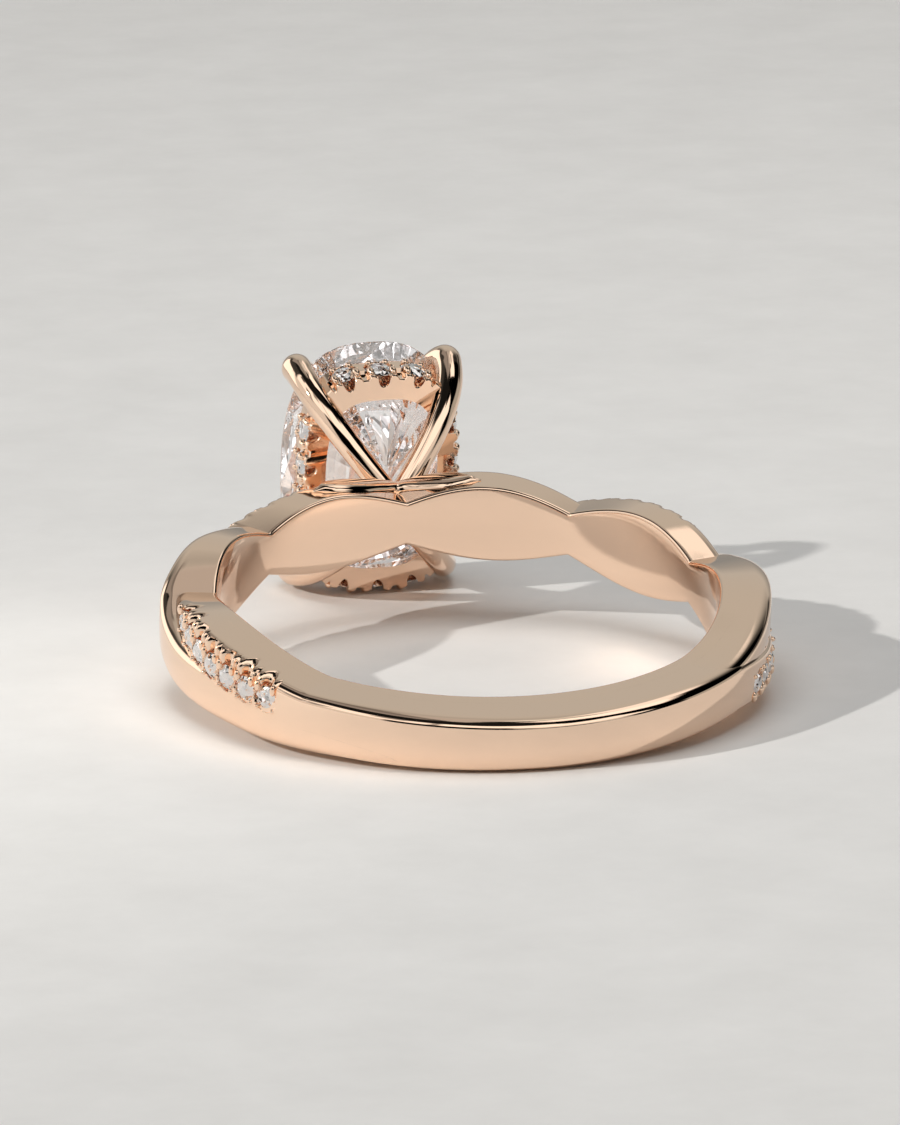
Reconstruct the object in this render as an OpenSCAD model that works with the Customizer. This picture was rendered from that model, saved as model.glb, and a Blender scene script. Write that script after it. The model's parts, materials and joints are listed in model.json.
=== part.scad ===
// Solitaire ring with a twisted shank, a hidden halo and an elongated cushion stone.
// It is drawn with the finger's axis along Z and the head towards +Y, then laid down
// as it rests: on the palm side of the shank and on the centre stone's lower edge.

/* [Shank] */
// Inner diameter of the shank, which fits the finger
inner_d = 17; // [16.5:0.1:17.5]
// Width of one strand along the finger
strand_w = 1.56; // [1.5:0.02:1.7]
// Width of the plain palm side
palm_w = 1.84; // [1.8:0.02:2.2]
// Half a turn of the twist, as an angle round the finger
half_turn = 38.5; // [38:0.5:39]
// How far a strand swings to the side in the first half turn from the head
swing_near = 0.6; // [0.5:0.05:0.65]
// How far it swings in the other half turns
swing_far = 0.68; // [0.55:0.02:0.7]
// Rounding of a strand's outer edges
edge_r = 0.2; // [0.15:0.05:0.25]

/* [Head] */
// Thickness of a claw where it leaves the shank
claw_d = 1.04; // [0.9:0.02:1.1]
// Thickness of a claw at its tip
claw_tip_d = 0.8; // [0.7:0.02:0.9]
// Height of the halo's wall
halo_h = 1.4; // [1.2:0.1:1.5]
// How far the claws' feet stand out from the shank's sides
foot_proud = 0.12; // [0.08:0.01:0.14]

/* [Stones] */
// Width of the centre stone
centre_w = 6.2; // [6.1:0.05:6.3]
// Length of the centre stone along the finger
centre_l = 9; // [8.9:0.1:9.1]
// Diameter of a halo stone
halo_stone_d = 1.04; // [0.9:0.02:1.06]
// Diameter of a shank stone
shank_stone_d = 0.86; // [0.7:0.02:0.86]
// Gap between a stone and its seat
seat_gap = 0.04; // [0.03:0.01:0.06]

/* [Hidden] */
inner_r = inner_d / 2;
strand_half = strand_w / 2;
palm_half = palm_w / 2;

// The third half turn runs out into the palm side: [last angle, lead, sharpness] of each strand.
// The polished strand does so later on the left, where it lies underneath.
POLISHED_LEFT = [176, 0.45, 2.2];
POLISHED_RIGHT = [140, 0.7, 1.6];
STONE_SET_RUN_OUT = [134, 0.85, 1.2];
full_palm = 150;
twist_end = 2 * half_turn;
stations_per_turn = 14;
palm_stations = 37;
profile_points = 16;
bore_stock = 0.6;
face_crown = 0.05;
edge_slack = 0.001;

// Wall over the finger hole: [angle from the head, polished strand, stone-set strand]
WALL = [
    [0, 1.93, 1.25], [19, 1.80, 1.50], [29, 1.60, 1.58], [38.5, 1.36, 1.84], [49, 1.22, 1.70],
    [58, 1.46, 1.56], [67, 1.68, 1.50], [77, 1.94, 1.40], [90, 1.87, 1.50], [108, 1.76, 1.84],
    [125, 1.86, 1.98], [140, 2.02, 2.06], [160, 2.21, 2.21], [180, 2.30, 2.30]
];
POLISHED = 1;
STONE_SET = 2;

// Levels of the head, as distances from the finger's axis
girdle_y = inner_r + 5.95;
halo_foot_y = inner_r + 3.75;

// The claws' feet spread over the shank's sides as leaves: [angle, inner radius, outer radius]
FOOT_LEAF = [
    [-21, inner_r + 0.80, inner_r + 0.90], [-16, inner_r + 0.45, inner_r + 1.30],
    [-9, inner_r + 0.55, inner_r + 1.50], [-3, inner_r + 1.00, inner_r + 1.75],
    [0, inner_r + 1.20, inner_r + 1.80], [4, inner_r + 0.85, inner_r + 1.75],
    [9, inner_r + 0.45, inner_r + 1.56], [13, inner_r + 0.45, inner_r + 1.22],
    [17, inner_r + 0.60, inner_r + 0.70]];
leaf_steps = 20;
leaf_root = 0.3;
leaf_lip = 0.02;
leaf_full_width = 0.5;
leaf_shoulder = [0.2, 0.8];

// The outlines of the centre stone and of the halo are superellipses of these powers
cushion_power = 2.58;
halo_power = 3.2;
halo_half = [2.8, 4.1];
halo_top_wall = [0.4, 0.45];
halo_foot_wall = [0.78, 0.92];
scallop_share = 0.46;
halo_stone_share = 0.55;
halo_sides = 72;
centre_sides = 32;

// The halo has this many even places, and those behind the claws hold no stone
halo_steps = 18;
halo_places = [for (i = [0 : halo_steps - 1]) if (i % 9 != 2 && i % 9 != 7) i];

// A claw's middle line: a bow from the shank up past the girdle, then over the crown
CLAW_FOOT = [0, inner_r + 1.73, 0.15];
CLAW_BOW = [2.46, inner_r + 2.83, 3.18];
CLAW_SHOULDER = [2.68, inner_r + 5.37, 3.78];
CLAW_HOOK = [[2.69, inner_r + 5.7, 3.77], [2.57, inner_r + 5.98, 3.59], [2.4, inner_r + 6.12, 3.36]];
hub_d = 0.6;
hub_foot = 1;
hub_top = 2.2;
claw_rings = 12;
claw_sides = 12;
tip_dome = [30, 60, 80];

// Where stones sit on the shank: [first angle, last angle, stones]. The near row keeps to its
// strand's middle, and the far row drifts from one height to the other as the strand runs out.
NEAR_ROW = [20, 63.4, 9];
FAR_ROW = [92.8, 125.7, 7];
far_row_z = [0.8, 0.36];
far_row_bend = 1.7;

// Cuts of the stones: [crown height, girdle thickness, pavilion depth] and [table, keel] shares
CENTRE_CUT = [0.92, 0.1, 2.75];
CENTRE_SHARES = [[0.6, 0.62], [0.04, 0.2]];
SMALL_CUT = [0.16, 0.03, 0.38];
SMALL_SHARES = [[0.56, 0.56], [0.08, 0.08]];
crown_break = [0.52, 0.62];
pavilion_break = [0.56, 0.45];
stone_sink = 0.1;
halo_seat_share = 0.42;
shank_seat_share = 0.48;

// The rest on the floor: the lean, and the shift that puts the origin under the middle
rest_tilt = 8.165;
rest_height = 2.409;
rest_middle = 2.425;

function lerp(a, b, t) = a + (b - a) * t;
function clamp(t) = min(1, max(0, t));
function smooth(t) = clamp(t) * clamp(t) * (3 - 2 * clamp(t));

// A smooth curve through the rows of a table, flat at both ends
function row_slope(table, col, i) =
    i <= 0 || i >= len(table) - 1 ? 0
    : (table[i + 1][col] - table[i - 1][col]) / (table[i + 1][0] - table[i - 1][0]);
function row_at(table, x, i = 0) = i >= len(table) - 2 || x < table[i + 1][0] ? i : row_at(table, x, i + 1);
function read_row(table, col, x, i) =
    let (w = table[i + 1][0] - table[i][0], t = clamp((x - table[i][0]) / w))
    table[i][col] * (1 + 2 * t) * (1 - t) * (1 - t) + row_slope(table, col, i) * w * t * (1 - t) * (1 - t)
    + table[i + 1][col] * t * t * (3 - 2 * t) - row_slope(table, col, i + 1) * w * t * t * (1 - t);
function wall(a, strand) = read_row(WALL, strand, abs(a), row_at(WALL, abs(a)));

// The strands' middle lines swing to either side of the ring's middle plane
function run_out(a, run) =
    a > run[0] ? 0
    : swing_far * pow(sin(180 * pow((a - twist_end) / (run[0] - twist_end), run[1])), run[2]);
function swing(a, run) =
    a < half_turn ? swing_near * sin(180 * a / half_turn)
    : a < twist_end ? -swing_far * sin(180 * (a - half_turn) / half_turn)
    : run_out(a, run);
function polished_z(a) = sign(a) * swing(abs(a), a < 0 ? POLISHED_LEFT : POLISHED_RIGHT);
function stone_set_z(a) = -sign(a) * swing(abs(a), STONE_SET_RUN_OUT);
function half_width(a) = lerp(strand_half, palm_half, smooth((abs(a) - twist_end) / (full_palm - twist_end)));
function shank_top(a) = half_width(a) + max(polished_z(a), stone_set_z(a));
function shank_bottom(a) = min(polished_z(a), stone_set_z(a)) - half_width(a);
function strand_edge(off, half) =
    -face_crown * pow(off / half, 2) - edge_r
    + sqrt(max(0, edge_r * edge_r - pow(max(0, off - half + edge_r), 2)));
function strand_r(a, z, mid, strand) =
    abs(z - mid) > half_width(a) + edge_slack ? 0
    : inner_r + wall(a, strand) + strand_edge(abs(z - mid), half_width(a));
function shank_r(a, z) = max(
    strand_r(a, z, polished_z(a), POLISHED), strand_r(a, z, stone_set_z(a), STONE_SET));

// One section of the shank: points [radius, z] from the upper inner edge to the lower one
function shank_section(a) =
    let (top = shank_top(a), bottom = shank_bottom(a), foot = inner_r - bore_stock)
    concat(
        [[foot, top]],
        [for (k = [0 : profile_points])
            let (z = lerp(bottom, top, (1 + cos(180 * k / profile_points)) / 2)) [shank_r(a, z), z]],
        [[foot, bottom]]);
half_stations = concat(
    [for (k = [0 : 2 * stations_per_turn - 1]) half_turn * k / stations_per_turn],
    [for (k = [0 : palm_stations - 1]) lerp(twist_end, 180, k / palm_stations)]);
stations = concat(
    half_stations, [180], [for (k = [len(half_stations) - 1 : -1 : 1]) -half_stations[k]]);
function round_finger(p, a) = [p[0] * sin(a), p[0] * cos(a), p[1]];

// Faces of a strip of rings with the same number of points
function strip_faces(rings, sides, turns) = [
    for (i = [0 : turns - 1], j = [0 : sides - 1])
        let (a = i * sides + j, b = i * sides + (j + 1) % sides,
            c = ((i + 1) % rings) * sides + (j + 1) % sides, d = ((i + 1) % rings) * sides + j)
        each [[a, b, c], [a, c, d]]];
function cap(start, sides) = [for (j = [0 : sides - 1]) start + j];
function cap_back(start, sides) = [for (j = [sides - 1 : -1 : 0]) start + j];

module shank_stock() {
    sides = profile_points + 3;
    polyhedron(
        [for (a = stations) each [for (p = shank_section(a)) round_finger(p, a)]],
        strip_faces(len(stations), sides, len(stations)));
}

// Turns a piece drawn standing on Z so that it stands on the finger's far side, facing +Y
module facing_out() {
    rotate([-90, 0, 0]) children();
}

// One section of a foot's leaf, from the root inside the shank and over its rounded back
function leaf_section(a) =
    let (i = row_at(FOOT_LEAF, a), inner = read_row(FOOT_LEAF, 1, a, i), outer = read_row(FOOT_LEAF, 2, a, i),
        wide = outer - inner, side = shank_top(a), proud = foot_proud * min(1, wide / leaf_full_width),
        run_in = leaf_shoulder[0] * wide, shoulder = side + leaf_shoulder[1] * proud)
    [[inner, side - leaf_root], [inner, side - leaf_lip], [inner + run_in, shoulder],
        [(inner + outer) / 2, side + proud], [outer - run_in, shoulder],
        [outer, side - leaf_lip], [outer, side - leaf_root]];
module foot_leaf() {
    sides = 7;
    first = FOOT_LEAF[0][0];
    last = FOOT_LEAF[len(FOOT_LEAF) - 1][0];
    polyhedron(
        [for (k = [0 : leaf_steps]) let (a = lerp(first, last, k / leaf_steps))
            each [for (p = leaf_section(a)) round_finger(p, a)]],
        concat([cap_back(0, sides)], strip_faces(leaf_steps + 1, sides, leaf_steps),
            [cap(leaf_steps * sides, sides)]));
}

function bow_point(t) =
    (1 - t) * (1 - t) * CLAW_FOOT + 2 * t * (1 - t) * CLAW_BOW + t * t * CLAW_SHOULDER;
claw_line = concat([for (k = [0 : claw_rings]) bow_point(k / claw_rings)], CLAW_HOOK);
function unit(v) = v / norm(v);
function claw_heading(i) = unit(claw_line[min(i + 1, len(claw_line) - 1)] - claw_line[max(i - 1, 0)]);
function claw_r(i) = lerp(claw_d, claw_tip_d, smooth((i - claw_rings + 1) / 4)) / 2;
function claw_ring(at, heading, r) =
    let (side = unit(cross(heading, [1, 0, -1])), up = cross(side, heading))
    [for (j = [0 : claw_sides - 1])
        at + r * (cos(360 * j / claw_sides) * side + sin(360 * j / claw_sides) * up)];
module claw() {
    last = len(claw_line) - 1;
    tip_r = claw_r(last);
    dome = [for (t = tip_dome)
        claw_ring(claw_line[last] + claw_heading(last) * tip_r * sin(t), claw_heading(last), tip_r * cos(t))];
    tube = [for (i = [0 : last]) claw_ring(claw_line[i], claw_heading(i), claw_r(i))];
    rings = concat(tube, dome);
    count = len(rings);
    polyhedron(
        [for (ring = rings) each ring],
        concat([cap_back(0, claw_sides)], strip_faces(count, claw_sides, count - 1),
            [cap((count - 1) * claw_sides, claw_sides)]));
}

// Fills the hollow between the four claws' lower ends
module hub() {
    facing_out() translate([0, 0, inner_r + hub_foot]) cylinder(h = hub_top - hub_foot, d = hub_d, $fn = 24);
}

// A cushion outline as points [x, z] at even steps of its angle
function power(v, n) = sign(v) * pow(abs(v), n);
function cushion(half, t, n) = [half[0] * power(cos(t), 2 / n), half[1] * power(sin(t), 2 / n)];
function at_level(p, y) = [p[0], y, p[1]];

module halo_wall() {
    walls = [
        [[0, 0], halo_foot_y + halo_h], [[0, 0], halo_foot_y],
        [halo_foot_wall, halo_foot_y], [halo_top_wall, halo_foot_y + halo_h]];
    polyhedron(
        [for (k = [0 : halo_sides - 1]) each [for (w = walls)
            at_level(cushion(halo_half - w[0], 360 * k / halo_sides, halo_power), w[1])]],
        strip_faces(halo_sides, len(walls), halo_sides));
}

// A cut stone on a girdle outline given as points [x, z], table up along +Y at the girdle's level
function scaled(outline, share) = [for (p = outline) [p[0] * share[0], p[1] * share[1]]];
function halfway(outline) =
    [for (k = [0 : len(outline) - 1]) (outline[k] + outline[(k + 1) % len(outline)]) / 2];
function ring_at(outline, share, y) = [for (p = scaled(outline, share)) at_level(p, y)];
module cut_stone(outline, cut, shares) {
    n = len(outline);
    whole = [1, 1];
    rings = [
        ring_at(outline, shares[1], -cut[2]),
        ring_at(halfway(outline), (shares[1] + whole) * pavilion_break[0], -cut[2] * pavilion_break[1]),
        ring_at(outline, whole, -cut[1] / 2),
        ring_at(outline, whole, cut[1] / 2),
        ring_at(halfway(outline), (shares[0] + whole) * crown_break[0], cut[0] * crown_break[1]),
        ring_at(outline, shares[0], cut[0])];
    polyhedron(
        [for (ring = rings) each ring],
        concat([cap_back(0, n)], strip_faces(6, n, 5), [cap(5 * n, n)]));
}
module centre_cut(grow) {
    half = [centre_w / 2 + grow, centre_l / 2 + grow];
    translate([0, girdle_y, 0]) cut_stone(
        [for (k = [0 : centre_sides - 1]) cushion(half, 360 * k / centre_sides, cushion_power)],
        CENTRE_CUT + [grow, grow, grow], CENTRE_SHARES);
}
module small_cut(d) {
    cut_stone([for (k = [0 : 7]) [cos(45 * k), sin(45 * k)] * d / 2], SMALL_CUT * d, SMALL_SHARES);
}

// Places round the halo at even steps along its outline, from the end nearest +Z
fine = 720;
facing_step = 0.2;
halo_fine = [for (k = [0 : fine]) cushion(halo_half, 90 + 360 * k / fine, halo_power)];
function fine_step(k) = k < fine ? norm(halo_fine[k + 1] - halo_fine[k]) : 0;
halo_run = [for (k = 0, run = 0; k <= fine; run = run + fine_step(k), k = k + 1) run];
function run_index(run, k = 0) = k >= fine || halo_run[k + 1] > run ? k : run_index(run, k + 1);
halo_round = halo_run[fine];
function halo_at(run) =
    let (left = (run + halo_round) % halo_round, k = run_index(left))
    lerp(halo_fine[k], halo_fine[k + 1], (left - halo_run[k]) / fine_step(k));
function halo_place(i) = halo_at(i * halo_round / halo_steps);
function halo_outward(i) =
    let (run = i * halo_round / halo_steps, along = halo_at(run + facing_step) - halo_at(run - facing_step))
    unit([along[1], -along[0]]);
halo_stone_y = halo_foot_y + halo_stone_share * halo_h;

// Opens the halo's lower edge under stone place i
module scallop(i) {
    d = scallop_share * halo_stone_d;
    at = halo_place(i);
    translate([at[0], 0, at[1]]) facing_out()
        translate([0, 0, halo_foot_y - 1]) cylinder(h = halo_stone_y - halo_foot_y + 1, d = d, $fn = 24);
}

// Stands a piece drawn on +Y on the halo's wall, at stone place i
module on_halo(i) {
    out = halo_outward(i);
    at = halo_place(i) - stone_sink * out;
    translate([at[0], halo_stone_y, at[1]])
        rotate([0, atan2(out[0], out[1]), 0]) rotate([90, 0, 0]) children();
}

// Stands a piece drawn on +Y on the stone-set strand, at an angle round the finger
function far_z(a) =
    let (t = clamp((abs(a) - FAR_ROW[0]) / (FAR_ROW[1] - FAR_ROW[0])))
    -sign(a) * lerp(far_row_z[1], far_row_z[0], pow(1 - t, far_row_bend));
function stone_z(a) = abs(a) < twist_end ? stone_set_z(a) : far_z(a);
module on_strand(a) {
    rotate([0, 0, -a]) translate([0, inner_r + wall(a, STONE_SET) - stone_sink, stone_z(a)]) children();
}
row_angles = [for (row = [NEAR_ROW, FAR_ROW], k = [0 : row[2] - 1]) lerp(row[0], row[1], k / (row[2] - 1))];

module seat(d, share) {
    facing_out() translate([0, 0, -share * d]) cylinder(h = 2 * share * d, d = d + 2 * seat_gap, $fn = 24);
}

module laid_down() {
    translate([0, -rest_middle, rest_height]) rotate([rest_tilt, 0, 0]) children();
}

module mounting() color("#d8a47f") laid_down() difference() {
    union() {
        shank_stock();
        for (turn = [0, 180]) rotate([0, turn, 0]) foot_leaf();
        halo_wall();
        hub();
        for (x = [0, 1], z = [0, 1]) mirror([x, 0, 0]) mirror([0, 0, z]) claw();
    }
    cylinder(h = 4 * palm_w, r = inner_r, center = true, $fn = 128);
    centre_cut(seat_gap);
    for (i = halo_places) {
        on_halo(i) seat(halo_stone_d, halo_seat_share);
        scallop(i);
    }
    for (side = [-1, 1], a = row_angles) on_strand(side * a) seat(shank_stone_d, shank_seat_share);
}

module centre_stone() color("#f4f4f8") laid_down() centre_cut(0);

module halo_stone(i) color("#f4f4f8") laid_down() on_halo(i) small_cut(halo_stone_d);

module shank_stones(side) color("#f4f4f8") laid_down()
    for (a = row_angles) on_strand(side * a) small_cut(shank_stone_d);

halo_names = [for (i = [1 : len(halo_places)]) str("halo_stone_", i)];
mounting();
centre_stone();
for (i = [0 : len(halo_places) - 1]) halo_stone(halo_places[i]);
shank_stones(-1);  // shank_stones_left
shank_stones(1);  // shank_stones_right
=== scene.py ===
"""The looks of the solitaire ring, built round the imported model.

Lengths are millimetres in the ring's own axes until a mesh is made: x to the side, y from the finger's
axis towards the head, z along the finger. Angles are degrees from the head round the finger.
"""

import json

import bmesh
import bpy
import numpy as np
from mathutils import Matrix


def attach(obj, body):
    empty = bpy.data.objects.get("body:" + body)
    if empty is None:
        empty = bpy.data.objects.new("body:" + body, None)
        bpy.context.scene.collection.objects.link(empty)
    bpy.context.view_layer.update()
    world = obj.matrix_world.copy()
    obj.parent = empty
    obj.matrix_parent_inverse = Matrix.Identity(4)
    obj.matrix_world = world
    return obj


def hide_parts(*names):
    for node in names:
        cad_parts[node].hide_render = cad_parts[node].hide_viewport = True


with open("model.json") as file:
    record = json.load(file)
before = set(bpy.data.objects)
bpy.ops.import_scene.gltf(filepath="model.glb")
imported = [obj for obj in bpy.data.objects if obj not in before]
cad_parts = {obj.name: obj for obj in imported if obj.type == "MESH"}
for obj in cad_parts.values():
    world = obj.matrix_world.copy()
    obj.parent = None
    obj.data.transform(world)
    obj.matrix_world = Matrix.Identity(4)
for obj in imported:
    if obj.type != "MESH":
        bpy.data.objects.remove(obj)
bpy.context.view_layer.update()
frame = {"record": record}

# The finger hole of the record carries the ring's own axes
MM = 0.001
finger_hole = frame["record"]["mounts"][0]
hole_middle = np.array(finger_hole["pos_m"])
along_finger = np.array(finger_hole["axis"]) / np.linalg.norm(finger_hole["axis"])
to_side = np.array([1.0, 0.0, 0.0])
to_head = np.cross(along_finger, to_side)
INNER_R = finger_hole["dims"]["r_mm"]

# Metres within which a mesh's points are one, and the shortest edge that is kept
SAME_POINT = 5e-8
SHORTEST_EDGE = 1e-8

# The shank, with the sizes of the part's source
STRAND_HALF = 0.78
PALM_HALF = 0.92
HALF_TURN = 38.5
TWIST_END = 77
FULL_PALM = 150
SWING_NEAR = 0.6
SWING_FAR = 0.68
LINING = 0.62

# The rounds of the strands' edges and of the finger hole's rims, how many times wider than high an edge is
# along the twist and along the palm side, and the crown of a strand's outside
EDGE_R = 0.27
RIM_R = 0.13
EDGE_STRETCH = 1.5
PALM_STRETCH = 2.0
FACE_CROWN = 0.05

# What keeps faces apart that would coincide, and the least round of an edge
HAIR = 0.0003
LEAST_ROUND = 0.005

# How a strand's last half turn fades into the palm side: last angle, power of the way there, and decay
POLISHED_LEFT = (176, 0.45, 2.2)
POLISHED_RIGHT = (140, 0.7, 1.6)
STONE_SET_RUN_OUT = (134, 0.85, 1.2)

# Where things change on the way to the palm side: first angle and degrees that the change takes
WALLS_MERGE = (112, 18)
POLISHED_SINKS = (115, 15)
PALM_EDGE_LEFT = (130, 25)
PALM_EDGE_RIGHT = (85, 25)

# Wall over the finger hole: angle from the head, polished strand, stone-set strand
WALL = np.array([
    (0, 1.93, 1.25), (19, 1.80, 1.50), (29, 1.60, 1.58), (38.5, 1.36, 1.84), (49, 1.22, 1.70),
    (58, 1.46, 1.56), (67, 1.68, 1.50), (77, 1.94, 1.40), (90, 1.87, 1.50), (108, 1.76, 1.84),
    (125, 1.86, 1.98), (140, 2.02, 2.06), (160, 2.21, 2.21), (180, 2.30, 2.30)])
POLISHED, STONE_SET = 1, 2

# Stations round the finger in degrees (first, last, step), close together where stones are set, and the
# last stretch of the palm side by its number of stations
LINING_STEP = 0.5
POLISHED_STEP = 0.75
STONE_SET_RUNS = [(0, 17, 0.7), (17, 66.5, 0.25), (66.5, 89.5, 0.6), (89.5, 129, 0.25)]
PALM_RUN = (129, 180, 70)

# Points of a strand's section over an edge, down the outside and over a side face, and points of the
# lining's over a rim and up the wall. Its side faces have a point at each distance from its outside.
EDGE_POINTS = 13
OUTSIDE_POINTS = {POLISHED: 18, STONE_SET: 44}
FACE_POINTS = 7
RIM_POINTS = 6
LINING_POINTS = 8
LINING_FACE = np.array([0.44, 0.3, 0.15, 0])

# Levels of the head over the finger's axis, and the outlines of its pieces
GIRDLE_Y = INNER_R + 5.95
HALO_FOOT_Y = INNER_R + 3.75
HALO_H = 1.4
HALO_POWER = 3.2
HALO_HALF = (2.8, 4.1)
HALO_TOP_WALL = (0.4, 0.45)
HALO_FOOT_WALL = (0.78, 0.92)

# Places for halo stones, and those of a half round that the claws take
HALO_COUNT = 18
CLAWED_PLACES = (2, 7)
HALO_PLACES = [i for i in range(HALO_COUNT) if i % (HALO_COUNT // 2) not in CLAWED_PLACES]
HALO_STONE_D = 1.04
HALO_STONE_SHARE = 0.55
HALO_STONE_Y = HALO_FOOT_Y + HALO_STONE_SHARE * HALO_H

# The centre stone's outline
CUSHION_POWER = 2.58
CENTRE_HALF = (3.1, 4.5)

# Rows of stones on the shank: first angle, last angle, stones. The far row's height falls from its first
# value to its last with a power of the way there.
NEAR_ROW = (20, 63.4, 9)
FAR_ROW = (92.8, 125.7, 7)
FAR_ROW_Z = (0.8, 0.36)
FAR_ROW_BEND = 1.7
SHANK_STONE_D = 0.86
STONE_SINK = 0.1

# A claw's middle line and radii, and a way that no part of it runs along
CLAW_FOOT = np.array([0, INNER_R + 1.73, 0.15])
CLAW_BOW = np.array([2.46, INNER_R + 2.83, 3.18])
CLAW_SHOULDER = np.array([2.68, INNER_R + 5.37, 3.78])
CLAW_HOOK = np.array([(2.69, 5.7, 3.77), (2.57, 5.98, 3.59), (2.4, 6.12, 3.36)]) + (0, INNER_R, 0)
CLAW_FOOT_R = 0.41
CLAW_R = 0.49
CLAW_TIP_R = 0.54
TIP_SWELL_AT = 0.4
CLAW_ASIDE = np.array([1.0, 0, -1.0])
BOW_POINTS = 14
CLAW_RINGS = 90
CLAW_SIDES = 32
DOME_RINGS = 10

# A claw's foot: angle from the head, inner and outer edge of the leaf over the finger hole. It is proud of
# the side face, and its root and its edges lie below it.
FOOT_LEAF = np.array([
    (-21, 0.80, 0.90), (-16, 0.42, 1.33), (-9, 0.50, 1.54), (-3, 0.95, 1.77), (0, 1.18, 1.80),
    (4, 0.78, 1.78), (9, 0.38, 1.62), (13, 0.40, 1.30), (17, 0.60, 0.74)])
FOOT_PROUD = 0.19
FOOT_FULL_WIDTH = 0.5
FOOT_BACK_POWER = 2.4
FOOT_ROOT = 0.3
FOOT_TUCK = 0.02
FOOT_STATIONS = 90
FOOT_POINTS = 17


def smooth(t):
    """A step from 0 to 1: 3 t squared minus 2 t cubed, held at both ends."""
    t = np.clip(t, 0, 1)
    return t * t * (3 - 2 * t)


def table_curve(table, column, x, flat_ends=True):
    """A cubic through a table's rows. A row's slope is that of the line from the row before to the row
    after, and at both ends it is 0, or that of the first or last step."""
    at, value = table[:, 0], table[:, column]
    slope = np.zeros(len(at))
    slope[1:-1] = (value[2:] - value[:-2]) / (at[2:] - at[:-2])
    if not flat_ends:
        slope[0] = (value[1] - value[0]) / (at[1] - at[0])
        slope[-1] = (value[-1] - value[-2]) / (at[-1] - at[-2])
    i = np.clip(np.searchsorted(at, x, side="right") - 1, 0, len(at) - 2)
    w = at[i + 1] - at[i]
    t = np.clip((x - at[i]) / w, 0, 1)
    return (value[i] * (1 + 2 * t) * (1 - t) ** 2 + slope[i] * w * t * (1 - t) ** 2
            + value[i + 1] * t * t * (3 - 2 * t) - slope[i + 1] * w * t * t * (1 - t))


def unit(v):
    """A vector over its length."""
    return v / np.linalg.norm(v, axis=-1, keepdims=True)


# Meshes

def grid_faces(rows, cols, round_rows=False, round_cols=False):
    """Quads between neighbouring points of a grid, closed round in a direction where asked."""
    i = np.arange(rows if round_rows else rows - 1)[:, None]
    j = np.arange(cols if round_cols else cols - 1)[None, :]
    i2, j2 = (i + 1) % rows, (j + 1) % cols
    quads = np.broadcast_arrays(i * cols + j, i2 * cols + j, i2 * cols + j2, i * cols + j2)
    return np.stack(quads, -1).reshape(-1, 4)


def face_groups(faces):
    """Faces as a list of arrays, each with one count of corners."""
    return faces if isinstance(faces, list) else [faces]


def joined(shapes):
    """Several (points, faces) shapes as one."""
    starts = np.cumsum([0] + [len(points) for points, _ in shapes])
    faces = []
    for start, (_, own_faces) in zip(starts, shapes):
        faces += [group + start for group in face_groups(own_faces)]
    return np.concatenate([points for points, _ in shapes]), faces


def mirrored(shape, signs):
    """A shape with each axis times its sign."""
    points, faces = shape
    return points * signs, faces


def in_frame(p):
    """Ring millimetres as metres in the row frame."""
    p = np.asarray(p, float)
    return hole_middle + MM * (p[..., :1] * to_side + p[..., 1:2] * to_head + p[..., 2:3] * along_finger)


def make_piece(name, shape, finish, nodes, sharp_angle=None):
    """A mesh object from a (points, faces) shape in ring millimetres, with its doubles merged and its faces
    outwards, standing for the CAD nodes. It is smooth up to sharp_angle degrees, or has flat facets."""
    points, faces = in_frame(shape[0]), face_groups(shape[1])
    mesh = bpy.data.meshes.new(name)
    mesh.vertices.add(len(points))
    mesh.vertices.foreach_set("co", points.astype(np.float32).ravel())
    corners = np.concatenate([group.ravel() for group in faces])
    sides = np.concatenate([np.full(len(group), group.shape[1]) for group in faces])
    mesh.loops.add(int(sides.sum()))
    mesh.loops.foreach_set("vertex_index", corners.astype(np.int32))
    mesh.polygons.add(len(sides))
    mesh.polygons.foreach_set("loop_start", np.concatenate([[0], np.cumsum(sides)[:-1]]).astype(np.int32))
    mesh.update(calc_edges=True)
    tidy = bmesh.new()
    tidy.from_mesh(mesh)
    bmesh.ops.remove_doubles(tidy, verts=tidy.verts, dist=SAME_POINT)
    bmesh.ops.dissolve_degenerate(tidy, edges=tidy.edges, dist=SHORTEST_EDGE)
    bmesh.ops.recalc_face_normals(tidy, faces=tidy.faces)
    tidy.to_mesh(mesh)
    tidy.free()
    if sharp_angle is None:
        mesh.shade_flat()
    else:
        mesh.shade_smooth()
        mesh.set_sharp_from_angle(angle=np.radians(sharp_angle))
    piece = bpy.data.objects.new(name, mesh)
    bpy.context.scene.collection.objects.link(piece)
    mesh.materials.append(finish)
    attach(piece, "root")
    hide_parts(*nodes)


# The shank

def run_out(a, last, power, decay):
    """The last half turn: the sine of half a turn of the way to its last angle, both raised to powers."""
    t = np.clip((a - TWIST_END) / (last - TWIST_END), 0, 1)
    return SWING_FAR * np.sin(np.pi * t ** power) ** decay


def swing(a, run):
    """How far a strand's middle line lies off the ring's middle plane: half a sine wave up to the first
    crossing, another one back up to the second, and a last one that fades into the palm side."""
    near = SWING_NEAR * np.sin(np.pi * a / HALF_TURN)
    far = -SWING_FAR * np.sin(np.pi * (a - HALF_TURN) / HALF_TURN)
    return np.where(a < HALF_TURN, near, np.where(a < TWIST_END, far, run_out(a, *run)))


def polished_z(a):
    """Height of the polished strand's middle line: its swing, with the other sign on the left."""
    return np.sign(a) * np.where(a < 0, swing(abs(a), POLISHED_LEFT), swing(abs(a), POLISHED_RIGHT))


def stone_set_z(a):
    """Height of the stone-set strand's middle line, which mirrors the polished one's."""
    return -np.sign(a) * swing(abs(a), STONE_SET_RUN_OUT)


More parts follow.
